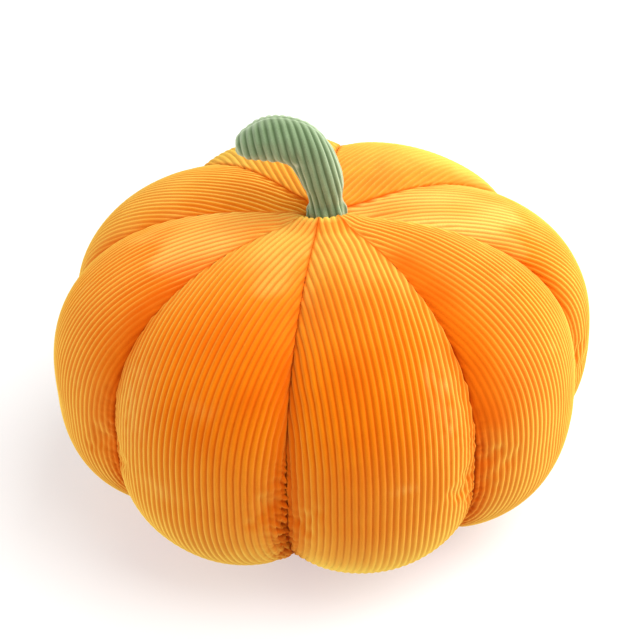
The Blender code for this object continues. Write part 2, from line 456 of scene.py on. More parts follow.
def row_angles():
    """Angles of the rows of points and their distances along a crown, closest where the cloth gathers."""
    angle = np.linspace(1e-4, math.pi - 1e-4, 4000)
    out, height = profile(angle)
    steps = np.hypot(np.diff(out), np.diff(height))
    length = np.concatenate(([0.0], np.cumsum(steps)))
    table = np.array(ROW_STEPS)
    rows = np.concatenate(([0.0], np.cumsum(steps / np.interp(angle[1:], table[:, 0], table[:, 1]))))
    places = np.interp(np.linspace(0.0, rows[-1], int(round(rows[-1])) + 1), rows, length)
    return np.interp(places, length, angle), places


def band(angle, start, end):
    """1 between two angles, fading to 0 outside them."""
    share = np.clip(np.minimum(angle - start, end - angle) / 0.16 + 0.5, 0.0, 1.0)
    return share * share * (3.0 - 2.0 * share)


def seam_wander(seam, angle, along):
    """How far a seam strays sideways at each row."""
    places = np.stack((along / 0.0060, np.full_like(along, seam * 3.7), np.zeros_like(along)), -1)
    amount = np.full_like(angle, 0.0003)
    for gore, start, end, wander in UNEVEN_SEAMS:
        if LOBES[seam][0] == gore:
            amount = np.maximum(amount, wander * band(angle, start, end))
    return amount * soft_noise(places) * np.sin(angle)


def sideways(turn):
    """The level direction across a seam at a turn about the axis."""
    return np.array((-math.sin(turn), math.cos(turn), 0.0))


def filled_casing():
    """How far the simulated filling moves the cloth: one grid of moves for each gore."""
    angles, along = row_angles()
    angles = np.interp(np.linspace(0.0, along[-1], CASING_ROWS), along, angles)
    across, angle = np.meshgrid(np.linspace(-1.0, 1.0, CASING_COLUMNS), angles)
    slack = CASING_SLACK * np.sqrt(np.clip(1.0 - across ** 2, 0.0, 1.0))[..., None]
    formed, started = [], []
    for lobe in range(len(LOBES)):
        points = lobe_surface(lobe, across, angle)
        points[..., 2] = np.maximum(points[..., 2], 0.0)
        formed.append(points)
        inner = points - surface_normals(lobe, across, angle) * slack
        inner[..., 2] = np.maximum(inner[..., 2], 0.0)
        started.append(inner)
    moves = [np.zeros_like(points) for points in formed]
    casing = joined("casing", [grid_mesh("casing", points, {}) for points in started], 1e-4)
    tree = KDTree(len(casing.data.vertices))
    for vertex in casing.data.vertices:
        tree.insert(vertex.co, vertex.index)
    tree.balance()
    index = np.array([[[tree.find(point)[1] for point in row] for row in grid] for grid in started])
    held = set(index[:, :, (0, -1)].ravel().tolist()) | set(index[:, (0, -1)].ravel().tolist())
    held |= {vertex.index for vertex in casing.data.vertices if vertex.co.z < 1e-4}
    casing.vertex_groups.new(name="sewn").add(sorted(held), 1.0, "REPLACE")
    filling = casing.modifiers.new("filling", "CLOTH").settings
    filling.quality = 6
    filling.bending_stiffness = 1.5
    filling.use_pressure = True
    filling.uniform_pressure_force = FILLING_PRESSURE
    filling.vertex_group_mass = "sewn"
    filling.shrink_min = -CLOTH_EASE
    filling.effector_weights.gravity = 0.0
    scene = bpy.context.scene
    for step in range(1, CASING_STEPS + 1):
        scene.frame_set(step)
    moved = casing.evaluated_get(bpy.context.evaluated_depsgraph_get()).to_mesh()
    places = np.empty(len(moved.vertices) * 3)
    moved.vertices.foreach_get("co", places)
    places = places.reshape(-1, 3)
    gathered = np.clip((angles - 0.9) / 0.6, 0.15, 1.0)[:, None, None]
    for lobe, points in enumerate(formed):
        move = places[index[lobe]] - points
        length = np.linalg.norm(move, axis=-1, keepdims=True)
        move = move * np.minimum(1.0, MOST_SWELL / np.maximum(length, 1e-9))
        even = move
        for evening in range(EVENING_ROUNDS):
            even = (np.roll(even, 1, axis=0) + even + np.roll(even, -1, axis=0)) / 3.0
            even[(0, -1), :] = 0.0
        moves[lobe] = even + (move - even) * gathered
        moves[lobe][:, (0, -1)] = 0.0
    bpy.data.objects.remove(casing)
    scene.frame_set(1)
    return angles, moves


def cubic_weights(at, count):
    """The four nearest places and their weights for smooth reading of evenly spaced values."""
    first = np.clip(np.floor(at).astype(int), 0, count - 2)
    u = at - first
    weights = (0.5 * (-u + 2 * u ** 2 - u ** 3), 0.5 * (2 - 5 * u ** 2 + 3 * u ** 3),
               0.5 * (u + 4 * u ** 2 - 3 * u ** 3), 0.5 * (u ** 3 - u ** 2))
    return [(np.clip(first + step - 1, 0, count - 1), weight) for step, weight in enumerate(weights)]


def read_moves(moves, casing_angles, angle, across):
    """Reads a gore's simulated moves at the points of its fine mesh."""
    row = np.interp(angle, casing_angles, np.arange(len(casing_angles)))
    column = (across + 1.0) / 2.0 * (moves.shape[1] - 1)
    total = np.zeros(angle.shape + (3,))
    for rows, row_weight in cubic_weights(row, moves.shape[0]):
        for columns, column_weight in cubic_weights(column, moves.shape[1]):
            total += moves[rows, columns] * (row_weight * column_weight)[..., None]
    return total


class Gore:
    """The cloth of one gore laid flat: columns of points along its wales, and rows across them."""

    def __init__(self, lobe, pitch):
        self.lobe = lobe
        self.name = LOBES[lobe][0]
        self.angles, self.along = row_angles()
        self.fine = np.sin(np.linspace(-1.0, 1.0, 2 * HALF_GORE_STEPS + 1) * math.pi / 2.0)
        line = lobe_surface(lobe, *np.meshgrid(self.fine, self.angles))
        steps = np.linalg.norm(np.diff(line, axis=1), axis=-1)
        offset = np.concatenate((np.zeros((len(self.angles), 1)), np.cumsum(steps, axis=1)), axis=1)
        self.offset = offset - offset[:, HALF_GORE_STEPS:HALF_GORE_STEPS + 1]
        wales = int(math.ceil(max(self.offset.max(), -self.offset.min()) / pitch))
        shares = [k + share for k in range(-wales, wales) for share in WALE_COLUMNS] + [wales]
        self.column = np.repeat(np.array(shares)[None] * pitch, len(self.angles), axis=0)
        self.row = np.repeat(self.along[:, None], self.column.shape[1], axis=1)
        self.angle = np.repeat(self.angles[:, None], self.column.shape[1], axis=1)
        self.left, self.right = self.offset[:, :1], self.offset[:, -1:]
        self.from_left = np.clip(self.column - self.left, 0.0, None)
        self.from_right = np.clip(self.right - self.column, 0.0, None)
        self.edge = np.minimum(self.from_left, self.from_right)

    def noise(self, wide, tall, seed):
        """Noise over the cloth, in lumps of a width and a height."""
        depth = np.full_like(self.row, seed + self.lobe * 7.3)
        return soft_noise(np.stack((self.column / wide, self.row / tall, depth), -1))

    def seam_noise(self, seam_side, wide, tall, seed):
        """Noise that differs between the two seams and keeps its distance from them."""
        depth = np.full_like(self.row, self.lobe * seed)
        return soft_noise(np.stack((seam_side + self.edge / wide, self.row / tall, depth), -1))

    def own_rows(self, table):
        """The rows of a table that are this gore's, without its name."""
        return [row[1:] for row in table if row[0] == self.name]

    def from_seam(self, side):
        """Distance from the seam on the left (-1) or the right (1)."""
        return self.from_left if side < 0 else self.from_right

    def across(self, waviness):
        """Places between the seams of wales that wander in the cloth, most of all beside the seams."""
        beside = np.exp(-self.edge / 0.014)
        waves = 1.1 * self.noise(0.030, 0.045, 0.0) + (0.3 + 2.2 * beside) * self.noise(0.012, 0.012, 3.0)
        shift = waviness * waves * np.clip(self.edge / 0.004, 0.0, 1.0)
        moved = np.clip(self.column + shift, self.left, self.right)
        places = np.array([np.interp(moved[k], self.offset[k], self.fine) for k in range(len(self.angles))])
        return np.where(self.column <= self.left, -1.0, np.where(self.column >= self.right, 1.0, places))

    def pressed_and_shaded(self):
        """How flat the wales are pressed, and how strongly painted shade darkens them, from 0 to 1."""
        total = np.zeros_like(self.column)
        for side, start, end, reach, share in self.own_rows(PRESSED_AND_SHADED):
            near = np.exp(-(self.from_seam(side) / reach) ** 2)
            total = np.maximum(total, share * band(self.angle, start, end) * near)
        return total

    def pucker(self, depth):
        """Rise and fall of the cloth where the seams gather it."""
        pull = depth * 0.30 * np.exp(-self.edge / 0.0060)
        for side, start, end, deeper, reach in self.own_rows(GATHERED):
            pull = pull + deeper * band(self.angle, start, end) * np.exp(-self.from_seam(side) / reach)
        seam_side = np.where(self.from_left < self.from_right, 0.0, 5.0)
        small = self.seam_noise(seam_side, 0.0065, 0.0052, 5.7)
        large = self.seam_noise(seam_side, 0.016, 0.0100, 2.9)
        fold = np.cos(2.0 * math.pi * (self.row + 0.25 * self.edge) / GATHER_PITCH + 8.0 * large + seam_side)
        return pull * np.clip(self.edge / 0.0012, 0.0, 1.0) * (0.55 * fold + 0.8 * small + 0.3 * large - 0.15)

    def marks(self, table, ragged):
        """Soft painted patches from a table, light ones and shaded ones alike, with ragged outlines."""
        total = np.zeros_like(self.column)
        for middle_across, middle_angle, wide, tall, share in self.own_rows(table):
            nearest = int(np.argmin(np.abs(self.angles - middle_angle)))
            middle = np.interp(middle_across, self.fine, self.offset[nearest])
            far = ((self.column - middle) / wide) ** 2 + ((self.row - self.along[nearest]) / tall) ** 2
            total = np.maximum(total, share * np.exp(-far))
        return total * np.clip(0.75 + 1.2 * ragged, 0.0, 1.0)

    def highlight_and_wear(self, pressed_and_shaded):
        """How much painted highlight pales the cloth, in bands and patches, from 0 to 1."""
        total = np.zeros_like(self.column)
        drift = 0.30 * self.noise(0.022, 0.040, 21.0)
        for start, end, share in self.own_rows(PAINTED_HIGHLIGHT_BANDS):
            total = np.maximum(total, share * band(self.angle + drift, start - 0.6, end + 0.1))
        total = total * (1.0 - pressed_and_shaded) * np.clip(0.75 + 0.9 * self.noise(0.030, 0.045, 9.0), 0.0, 1.0)
        return np.maximum(total, self.marks(PAINTED_HIGHLIGHT_MARKS, self.noise(0.004, 0.007, 12.0)))

    def floor_bounce_and_wear_edge(self, pressed_and_shaded):
        """How much painted floor bounce tints the cloth towards the underside, from 0 to 1."""
        total = np.clip((self.angle - 1.15) / 1.1, 0.0, 1.0)
        total = total * np.clip(0.85 + 0.7 * self.noise(0.035, 0.050, 15.0), 0.0, 1.0)
        return total * (1.0 - pressed_and_shaded)


def seated(points):
    """Lays the cloth under the stem's foot, raises it round the foot, and flattens the lobes on the floor."""
    aside, ahead = points[..., 0] - PLACE[0], points[..., 1] - PLACE[1]
    from_axis = np.hypot(aside, ahead)
    from_foot = np.hypot(aside, ahead / STEM_DEPTH_RATIO)
    under_stem = SEAT_LEVEL + PLACE[2] - SEAT_GAP
    under_stem = under_stem - SEAT_HOLLOW * np.clip(1.0 - from_foot / SEAT_RADIUS, 0.0, 1.0)
    under_stem = under_stem + SEAT_SLOPE * np.clip(from_foot - SEAT_RADIUS, 0.0, None)
    rim = FOOT_RIM_RISE * np.exp(-((from_axis - FOOT_RIM_RADIUS) / FOOT_RIM_WIDTH) ** 2)
    toward_front = np.clip(-ahead / np.maximum(from_axis, 1e-6), 0.0, 1.0)
    rim = rim * (0.25 + 0.75 * toward_front) * (points[..., 2] > SEAT_LEVEL)
    round_foot = np.minimum(points[..., 2] + rim, under_stem)
    level = np.where(from_axis < 2.0 * SEAT_RADIUS, round_foot, points[..., 2])
    points[..., 2] = np.maximum(level, 0.0)
    return points


def gore_mesh(lobe, sizes, casing):
    """One gore with its wales raised, cut on the straight grain so that they run off into the seams."""
    pitch = sizes.wale_pitch
    gore = Gore(lobe, pitch)
    edge, angle = gore.edge, gore.angle
    across = gore.across(sizes.waviness)
    pressed_and_shaded = gore.pressed_and_shaded()
    pucker = gore.pucker(sizes.pucker)
    uneven = 0.0009 * gore.noise(0.05, 0.07, 6.0) * np.clip(edge / 0.02, 0.0, 1.0)
    relief = (wale_profile(gore.column / pitch) - 0.62) * sizes.wale_height * np.clip(edge / 0.0016, 0.0, 1.0)
    relief = relief * (1.0 - pressed_and_shaded)

    casing_angles, moves = casing
    points = lobe_surface(lobe, across, angle)
    points = points + read_moves(moves[lobe], casing_angles, angle, across)
    points = points + surface_normals(lobe, across, angle) * (relief + pucker + uneven)[..., None]
    following = (lobe + 1) % len(LOBES)
    for seam, distance in ((lobe, gore.from_left), (following, gore.from_right)):
        stray = seam_wander(seam, gore.angles, gore.along)[:, None] * np.exp(-distance / 0.004)
        points = points + stray[..., None] * sideways(math.radians(LOBES[seam][1]))

    # Near the top the painted crease shade is held back from the seams
    open_top = 0.030 * np.clip((0.80 - angle) / 0.60, 0.0, 1.0) * np.clip(edge / 0.004, 0.0, 1.0)
    # Painted shade in patches, and in the valleys of the puckers
    painted_shade_patches = gore.marks(PAINTED_SHADE_MARKS, gore.noise(0.014, 0.026, 18.0))
    maps = {
        "Cloth": (np.clip(gore.column, gore.left, gore.right) / pitch, gore.row / pitch),
        "Place": ((edge + open_top) / MAP_REACH, pressed_and_shaded),
        "Painted light and wear": (gore.highlight_and_wear(pressed_and_shaded), gore.floor_bounce_and_wear_edge(pressed_and_shaded)),
        "Fold and patch shade": (np.clip(-pucker / DEEP_PUCKER, 0.0, 1.0), painted_shade_patches),
    }
    return grid_mesh("gore", seated(points), {key: np.stack(pair, -1) for key, pair in maps.items()})


class Nodes:
    """Adds shader nodes to a tree and links them."""

    def __init__(self, tree):
        self.tree = tree

    def add(self, kind, inputs=None, **settings):
        """A node whose inputs are linked to sockets or set to values."""
        node = self.tree.nodes.new(kind)
        for key, value in settings.items():
            setattr(node, key, value)
        for key, value in (inputs or {}).items():
            if isinstance(value, bpy.types.NodeSocket):
                self.tree.links.new(value, node.inputs[key])
            else:
                node.inputs[key].default_value = value
        return node

    def math(self, operation, first, second=0.0, third=0.0):
        return self.add("ShaderNodeMath", {0: first, 1: second, 2: third}, operation=operation).outputs[0]

    def mix(self, factor, first, second):
        """A colour between two colours."""
        node = self.add("ShaderNodeMix", {"Factor": factor}, data_type="RGBA")
        for key, value in (("A", first), ("B", second)):
            socket = [item for item in node.inputs if item.name == key and item.type == "RGBA"][0]
            if isinstance(value, bpy.types.NodeSocket):
                self.tree.links.new(value, socket)
            else:
                socket.default_value = (*value[:3], 1.0)
        return [item for item in node.outputs if item.type == "RGBA"][0]

    def ramp(self, value, low, high):
        """0 at the low value and 1 at the high one, with a soft step between."""
        return self.add("ShaderNodeMapRange", {0: value, 1: low, 2: high},
                        interpolation_type="SMOOTHSTEP").outputs[0]

    def noise(self, place, scale, detail, roughness):
        """Noise from 0 to 1 at a place."""
        return self.add("ShaderNodeTexNoise", {"Vector": place, "Scale": scale, "Detail": detail,
                                               "Roughness": roughness}).outputs[0]

    def stretched(self, place, amounts):
        return self.add("ShaderNodeVectorMath", {0: place, 1: amounts}, operation="MULTIPLY").outputs[0]

    def parts(self, pair):
        """The two numbers of a map."""
        separate = self.add("ShaderNodeSeparateXYZ", {0: pair})
        return separate.outputs["X"], separate.outputs["Y"]


GROUP_SOCKETS = (
    # side, kind, names
    ("INPUT", "NodeSocketVector", CLOTH_MAPS),
    ("INPUT", "NodeSocketColor", ("Pile", "Deep", "Pale", "Paler", "Floor bounce and wear edge", "Seam and fold shade")),
    ("INPUT", "NodeSocketFloat", ("Ridge", "Crease reach", "Rim share")),
    ("OUTPUT", "NodeSocketColor", ("Colour",)),
    ("OUTPUT", "NodeSocketFloat", ("Roughness", "Height", "Rim")),
)


def corduroy_group():
    """Corduroy's colour, roughness, fine relief and share of fuzz, from its maps and its colours."""
    group = bpy.data.node_groups.new("Corduroy", "ShaderNodeTree")
    for side, kind, names in GROUP_SOCKETS:
        for name in names:
            group.interface.new_socket(name=name, in_out=side, socket_type=kind)
    nodes = Nodes(group)
    given = nodes.add("NodeGroupInput").outputs
    from_valley = nodes.math("FRACT", nodes.parts(given["Cloth"])[0])
    from_crown = nodes.math("ABSOLUTE", nodes.math("SUBTRACT", from_valley, 0.5))
    crown = nodes.ramp(from_crown, 0.5, given["Ridge"])

    # The lie of the pile in broad patches and streaks, and its fibres
    broad = nodes.noise(nodes.add("ShaderNodeTexCoord").outputs["Object"], 22.0, 3.0, 0.55)
    streak = nodes.noise(nodes.stretched(given["Cloth"], (0.9, 0.16, 1.0)), 0.8, 3.0, 0.6)
    patches = nodes.math("ADD", nodes.math("MULTIPLY", broad, 0.65), nodes.math("MULTIPLY", streak, 0.35))
    nap = nodes.ramp(patches, 0.36, 0.64)
    fibre = nodes.noise(nodes.stretched(given["Cloth"], (5.0, 2.4, 1.0)), 2.2, 4.0, 0.7)
    fleck = nodes.ramp(fibre, 0.3, 0.7)

    from_seam, pressed_and_shaded = nodes.parts(given["Place"])
    highlight_and_wear, floor_bounce_and_wear_edge = nodes.parts(given["Painted light and wear"])
    # Painted shade in the valleys of the puckers and in patches
    fold, painted_shade_patches = nodes.parts(given["Fold and patch shade"])
    # Painted shade: near the seams and where the wales are pressed the cloth is darkened towards the deep
    # colour
    crease = nodes.math("MAXIMUM", nodes.ramp(from_seam, given["Crease reach"], 0.0), pressed_and_shaded)
    # Painted shade: a dark line in each seam's groove, and in the valleys of the puckers
    line = nodes.math("MULTIPLY", nodes.ramp(from_seam, 0.026, 0.008), 0.75)
    line = nodes.math("MAXIMUM", line, nodes.math("MULTIPLY", fold, 0.85))
    raised = nodes.math("MULTIPLY_ADD", pressed_and_shaded, -0.75, 0.75)
    # Painted shade in the wale valleys, less where the wales are pressed flat
    valley = nodes.math("MULTIPLY", nodes.math("SUBTRACT", 1.0, crown), raised)
    colour = nodes.mix(nodes.math("MULTIPLY", nap, 0.55), given["Pile"], given["Pale"])
    # Painted floor bounce towards the body's underside, and on the stem the dark edge of its worn place
    colour = nodes.mix(nodes.math("MULTIPLY", floor_bounce_and_wear_edge, 0.75), colour, given["Floor bounce and wear edge"])
    # Painted highlight on the body, and on the stem the pale of its worn place
    colour = nodes.mix(highlight_and_wear, colour, given["Paler"])
    # Darker towards the deep colour: random flecks of fibre, and painted shade in creases, wale valleys and
    # patches
    for share in (
        nodes.math("MULTIPLY", nodes.math("SUBTRACT", 1.0, fleck), 0.34),
        nodes.math("MULTIPLY", crease, 0.8),
        valley,
        painted_shade_patches,
    ):
        colour = nodes.mix(share, colour, given["Deep"])
    colour = nodes.mix(line, colour, given["Seam and fold shade"])

    rim = nodes.math("MULTIPLY_ADD", nap, 0.25, given["Rim share"])
    # The rim of fuzz is held back where shade is painted in creases and seams
    rim = nodes.math("MULTIPLY", rim, nodes.math("MULTIPLY_ADD", crease, -0.75, 1.0))
    rim = nodes.math("MULTIPLY", rim, nodes.math("MULTIPLY_ADD", line, -1.0, 1.0))
    nodes.add("NodeGroupOutput", {
        "Colour": colour,
        "Roughness": nodes.math("MULTIPLY_ADD", fleck, 0.12, 0.78),
        "Height": nodes.math("ADD", nodes.math("MULTIPLY", crown, 0.7), nodes.math("MULTIPLY", fleck, 0.3)),
        "Rim": rim,
    })
    return group


def corduroy(name, pile, deep, pale, finish_and_painted_light, sheen, fuzz_colour):
    """Velvety corduroy: painted shade deep in its valleys, creases and puckers, and painted highlight pale on
    the body's lit places.
    """
    material = bpy.data.materials.new(name)
    material.use_nodes = True
    tree = material.node_tree
    nodes = Nodes(tree)
    inputs = {key: nodes.add("ShaderNodeUVMap", uv_map=key).outputs[0] for key in CLOTH_MAPS}
    inputs.update({"Pile": (*pile, 1.0), "Deep": (*deep, 1.0), "Pale": (*pale, 1.0)})
    # The colour of the painted shade in the seams and in the puckers
    inputs["Seam and fold shade"] = (deep[0] * 0.60, deep[1] * 0.40, deep[2], 1.0)
    inputs.update(finish_and_painted_light)
    group = bpy.data.node_groups.get("Corduroy") or corduroy_group()
    cloth = nodes.add("ShaderNodeGroup", inputs, node_tree=group).outputs
    shader = tree.nodes["Principled BSDF"]
    tree.links.new(cloth["Colour"], shader.inputs["Base Color"])
    tree.links.new(cloth["Roughness"], shader.inputs["Roughness"])
    bump = nodes.add("ShaderNodeBump", {"Strength": 0.50, "Distance": 0.0006, "Height": cloth["Height"]})
    tree.links.new(bump.outputs[0], shader.inputs["Normal"])
    shader.inputs["Specular IOR Level"].default_value = 0.02
    shader.inputs["Sheen Weight"].default_value = 0.65
    shader.inputs["Sheen Roughness"].default_value = 0.42
    shader.inputs["Sheen Tint"].default_value = sheen
    fuzz = nodes.add("ShaderNodeBsdfDiffuse", {"Color": fuzz_colour, "Normal": bump.outputs[0]})
    facing = nodes.add("ShaderNodeLayerWeight", {"Blend": 0.5}).outputs["Facing"]
    rim = nodes.math("MULTIPLY", nodes.math("POWER", facing, 1.9), cloth["Rim"])
    mixed = nodes.add("ShaderNodeMixShader", {0: rim, 1: shader.outputs[0], 2: fuzz.outputs[0]})
    tree.links.new(mixed.outputs[0], tree.nodes["Material Output"].inputs["Surface"])
    return material


def thread_material(colour):
    """Twisted sewing thread."""
    material = bpy.data.materials.new("seam_thread")
    material.use_nodes = True
    tree = material.node_tree
    nodes = Nodes(tree)
    shader = tree.nodes["Principled BSDF"]
    twist = nodes.noise(nodes.add("ShaderNodeTexCoord").outputs["Object"], 1800.0, 2.0, 0.5)
    dark = [value * 0.55 for value in colour]
    shade = nodes.mix(nodes.ramp(twist, 0.3, 0.7), dark, colour)
    tree.links.new(shade, shader.inputs["Base Color"])
    shader.inputs["Roughness"].default_value = 0.7
    shader.inputs["Specular IOR Level"].default_value = 0.1
    return material


class CUSHION_OT_body(bpy.types.Operator):
    """Builds the filled body, with eight gores of raised wales sewn edge to edge"""

    bl_idname = "cushion.body"
    bl_label = "Body"

    def execute(self, context):
        sizes = context.scene.cushion_sizes
        colours = context.scene.cushion_colours
        casing = filled_casing()
        body = joined("body_gores", [gore_mesh(lobe, sizes, casing) for lobe in range(len(LOBES))])
        body.data.materials.append(corduroy(
            "orange_corduroy", colours.orange, colours.orange_deep, colours.orange_pale,
            ORANGE_FINISH_AND_PAINTED_LIGHT, ORANGE_SHEEN, ORANGE_FUZZ))
        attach(body, "root")
        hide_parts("body")
        return {"FINISHED"}


def stitch_row(seam, angles, along):
    """One row of stitches down a seam: short, round-ended threads."""
    line = lobe_surface(seam, np.full_like(angles, -1.0), angles)
    line = line + seam_wander(seam, angles, along)[:, None] * sideways(math.radians(LOBES[seam][1]))
    length = np.concatenate(([0.0], np.cumsum(np.linalg.norm(np.diff(line, axis=0), axis=1))))
    size = Matrix.Diagonal((THREAD_RADIUS, THREAD_RADIUS, STITCH_LENGTH / 2.0, 1.0))
    first, last = np.interp(STITCHED, angles, length)
    row = bmesh.new()
    for at in np.arange(first, last, STITCH_STEP):
        here = Vector([np.interp(at, length, line[:, axis]) for axis in range(3)])
        there = Vector([np.interp(at + STITCH_LENGTH, length, line[:, axis]) for axis in range(3)])
        from_middle = here - Vector(PLACE)
        outward = Vector((from_middle.x, from_middle.y, from_middle.z * 1.2)).normalized()
        downward = (there - here).normalized()
        side = outward.cross(downward).normalized()
        turn = Matrix((side, outward, downward)).transposed().to_4x4()
        rise = float(np.interp(np.interp(at, length, angles), (1.0, 1.4), (0.0, STITCH_RISE)))
        centre = Matrix.Translation((here + there) / 2.0 + outward * rise)
        bmesh.ops.create_uvsphere(row, u_segments=6, v_segments=5, radius=1.0, matrix=centre @ turn @ size)
    stitches = bpy.data.meshes.new("stitches")
    row.to_mesh(stitches)
    row.free()
    return stitches


class CUSHION_OT_stitches(bpy.types.Operator):
    """Sews short stitches of thread along the eight seams of the body"""

    bl_idname = "cushion.stitches"
    bl_label = "Seam stitches"

    def execute(self, context):
        angles, along = row_angles()
        bm = bmesh.new()
        for seam in range(len(LOBES)):
            stitches = stitch_row(seam, angles, along)
            bm.from_mesh(stitches)
            bpy.data.meshes.remove(stitches)
        mesh = bpy.data.meshes.new("seam_stitches")
        bm.to_mesh(mesh)
        bm.free()
        mesh.polygons.foreach_set("use_smooth", np.ones(len(mesh.polygons), dtype=bool))
        piece = bpy.data.objects.new("seam_stitches", mesh)
        context.scene.collection.objects.link(piece)
        mesh.materials.append(thread_material(context.scene.cushion_colours.thread))
        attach(piece, "root")
        return {"FINISHED"}


def stem_line(count):
    """Places and half widths evenly spaced along the stem, on a smooth line through its table."""
    table = np.array(STEM_SECTIONS)
    length = np.concatenate(([0.0], np.cumsum(np.hypot(*np.diff(table[:, :2], axis=0).T))))
    padded = np.vstack((2.0 * table[0] - table[1], table, 2.0 * table[-1] - table[-2]))
    at = length[-1] * (1.0 - (1.0 - np.linspace(0.0, 1.0, count)) ** 1.25)
    k = np.clip(np.searchsorted(length, at, side="right") - 1, 0, len(table) - 2)
    u = ((at - length[k]) / (length[k + 1] - length[k]))[:, None]
    a, b, c, d = padded[k], padded[k + 1], padded[k + 2], padded[k + 3]
    curve = (c - a) * u + (2 * a - 5 * b + 4 * c - d) * u ** 2 + (3 * b - a - 3 * c + d) * u ** 3
    line = 0.5 * (2 * b + curve)
    line[:, 2] = np.clip(line[:, 2], 0.0, None)
    tip = np.clip((length[-1] - at) / TIP_LENGTH, 0.0, 1.0)
    round_tip = TIP_RADIUS * np.sqrt(1.0 - (1.0 - tip) ** 2)
    line[:, 2] = np.where(tip < 1.0, np.minimum(line[:, 2] + 0.002 * (1.0 - tip), round_tip), line[:, 2])
    return line, at


def cloth_over(turn):
    """Distance over a stem half's cloth from its middle, as a share of the stem's half width."""
    quarter = np.linspace(0.0, math.pi / 2.0, 61)
    steps = np.hypot(np.diff(np.sin(quarter)), STEM_DEPTH_RATIO * np.diff(np.cos(quarter)))
    arc = np.concatenate(([0.0], np.cumsum(steps)))
    from_middle = np.abs(math.pi / 2.0 - np.abs(((turn + math.pi) % (2 * math.pi)) - math.pi))
    return np.sign(np.cos(turn)) * np.interp(from_middle, quarter, arc)


def outward_of_rings(points):
    """Outward directions of rings of points whose last point repeats the first."""
    around = np.roll(points[:, :-1], -1, axis=1) - np.roll(points[:, :-1], 1, axis=1)
    around = np.concatenate((around, around[:, :1]), axis=1)
    normal = np.cross(around, np.gradient(points, axis=0))
    return normal / np.maximum(np.linalg.norm(normal, axis=-1, keepdims=True), 1e-12)


def stem_mesh(sizes):
    """The stem's two halves, sewn along their outline, with wales on the straight grain."""
    line, along = stem_line(STEM_ROWS)
    tangent = np.gradient(line[:, :2], axis=0)
    tangent[0] = (0.0, 1.0)
    tangent = tangent / np.linalg.norm(tangent, axis=1, keepdims=True)
    turn = np.linspace(0.0, 2.0 * math.pi, STEM_COLUMNS + 1)
    wide, deep = np.cos(turn), np.sin(turn)
    middle_x, middle_z, half = line[:, 0][:, None], line[:, 1][:, None], line[:, 2][:, None]
    aside_x, aside_z = tangent[:, 1][:, None], -tangent[:, 0][:, None]

    # The foot is gathered into small folds, and the filling is a little uneven
    full = np.ones_like(half) * np.ones_like(turn)
    places = np.stack((wide * 1.9 * full, deep * 1.9 * full, along[:, None] / 0.012 * full), -1)
    gather = np.exp(-(along / 0.0085) ** 2)[:, None]
    ripple = 0.0011 * gather * np.cos(7.0 * turn + 0.6 * np.sin(2.0 * turn))[None]
    softness = 0.0007 * soft_noise(places) * np.clip(half / 0.006, 0.0, 1.0)
    size = half + ripple + softness
    depth = (half * STEM_DEPTH_RATIO + ripple + softness) * deep
    points = np.stack((middle_x + size * wide * aside_x, depth, middle_z + size * wide * aside_z), -1)

    # Each half is cut from flat cloth whose wales lean a little
    over = cloth_over(turn)
    flat_x = middle_x + half * over * aside_x
    flat_z = middle_z + half * over * aside_z
    lean = math.radians(STEM_WALE_LEAN)
    pitch = sizes.wale_pitch * STEM_WALE_SIZE
    wale = (flat_x * math.cos(lean) + flat_z * math.sin(lean)) / pitch
    grain = (flat_z * math.cos(lean) - flat_x * math.sin(lean)) / pitch
    sewn = np.abs(deep)[None] * half
    relief = sizes.wale_height * 0.85 * (wale_profile(wale, 1.8) - 0.62)
    relief = relief * np.clip(sewn / 0.0080, 0.12, 1.0) * np.clip(half / 0.006, 0.0, 1.0)
    groove = -0.0003 * np.exp(-(sewn / 0.0012) ** 2) * np.clip(half / 0.005, 0.0, 1.0)
    points = points + outward_of_rings(points) * (relief + groove)[..., None]
    points[..., 2] = np.maximum(points[..., 2], 0.0)

    # Rings that close the foot from its middle, and a closed tip
    inward = np.linspace(0.0, 1.0, FOOT_RINGS + 1)[:-1, None, None]
    under = inward * points[:1] + (1.0 - inward) * np.array((line[0, 0], 0.0, 0.0))
    under[..., 2] = 0.0
    points[0, :, 2] = 0.0
    points[-1] = points[-1].mean(axis=0)
    points = np.concatenate((under, points)) + PLACE + np.array((0.0, 0.0, SEAT_LEVEL + FOOT_GAP))

    def mark(x, z, reach_x, reach_z):
        return np.exp(-((flat_x - x) / reach_x) ** 2 - ((flat_z - z) / reach_z) ** 2) * (deep < 0)

    none = np.zeros_like(sewn)
    maps = {
        "Cloth": (wale, grain),
        # Set 2.5 mm off the seam, which keeps the painted seam shade off the stem's outline
        "Place": ((sewn + 0.0025) / MAP_REACH, none),
        "Painted light and wear": (mark(*STEM_MARK), mark(*STEM_MARK_EDGE)),
        "Fold and patch shade": (none, none),
    }
    for key, pair in maps.items():
        values = np.stack(pair, -1)
        maps[key] = np.concatenate((np.repeat(values[:1], FOOT_RINGS, axis=0), values))
    return grid_mesh("stem", points, maps)


class CUSHION_OT_stem(bpy.types.Operator):
    """Builds the filled, bent stem with its gathered foot"""

    bl_idname = "cushion.stem"
    bl_label = "Stem"

    def execute(self, context):
        colours = context.scene.cushion_colours
        stem = joined("stem_halves", [stem_mesh(context.scene.cushion_sizes)])
        stem.data.materials.append(corduroy(
            "sage_corduroy", colours.sage, colours.sage_deep, colours.sage_pale,
            SAGE_FINISH_AND_PAINTED_LIGHT, SAGE_SHEEN, SAGE_FUZZ))
        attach(stem, "root")
        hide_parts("stem")
        return {"FINISHED"}


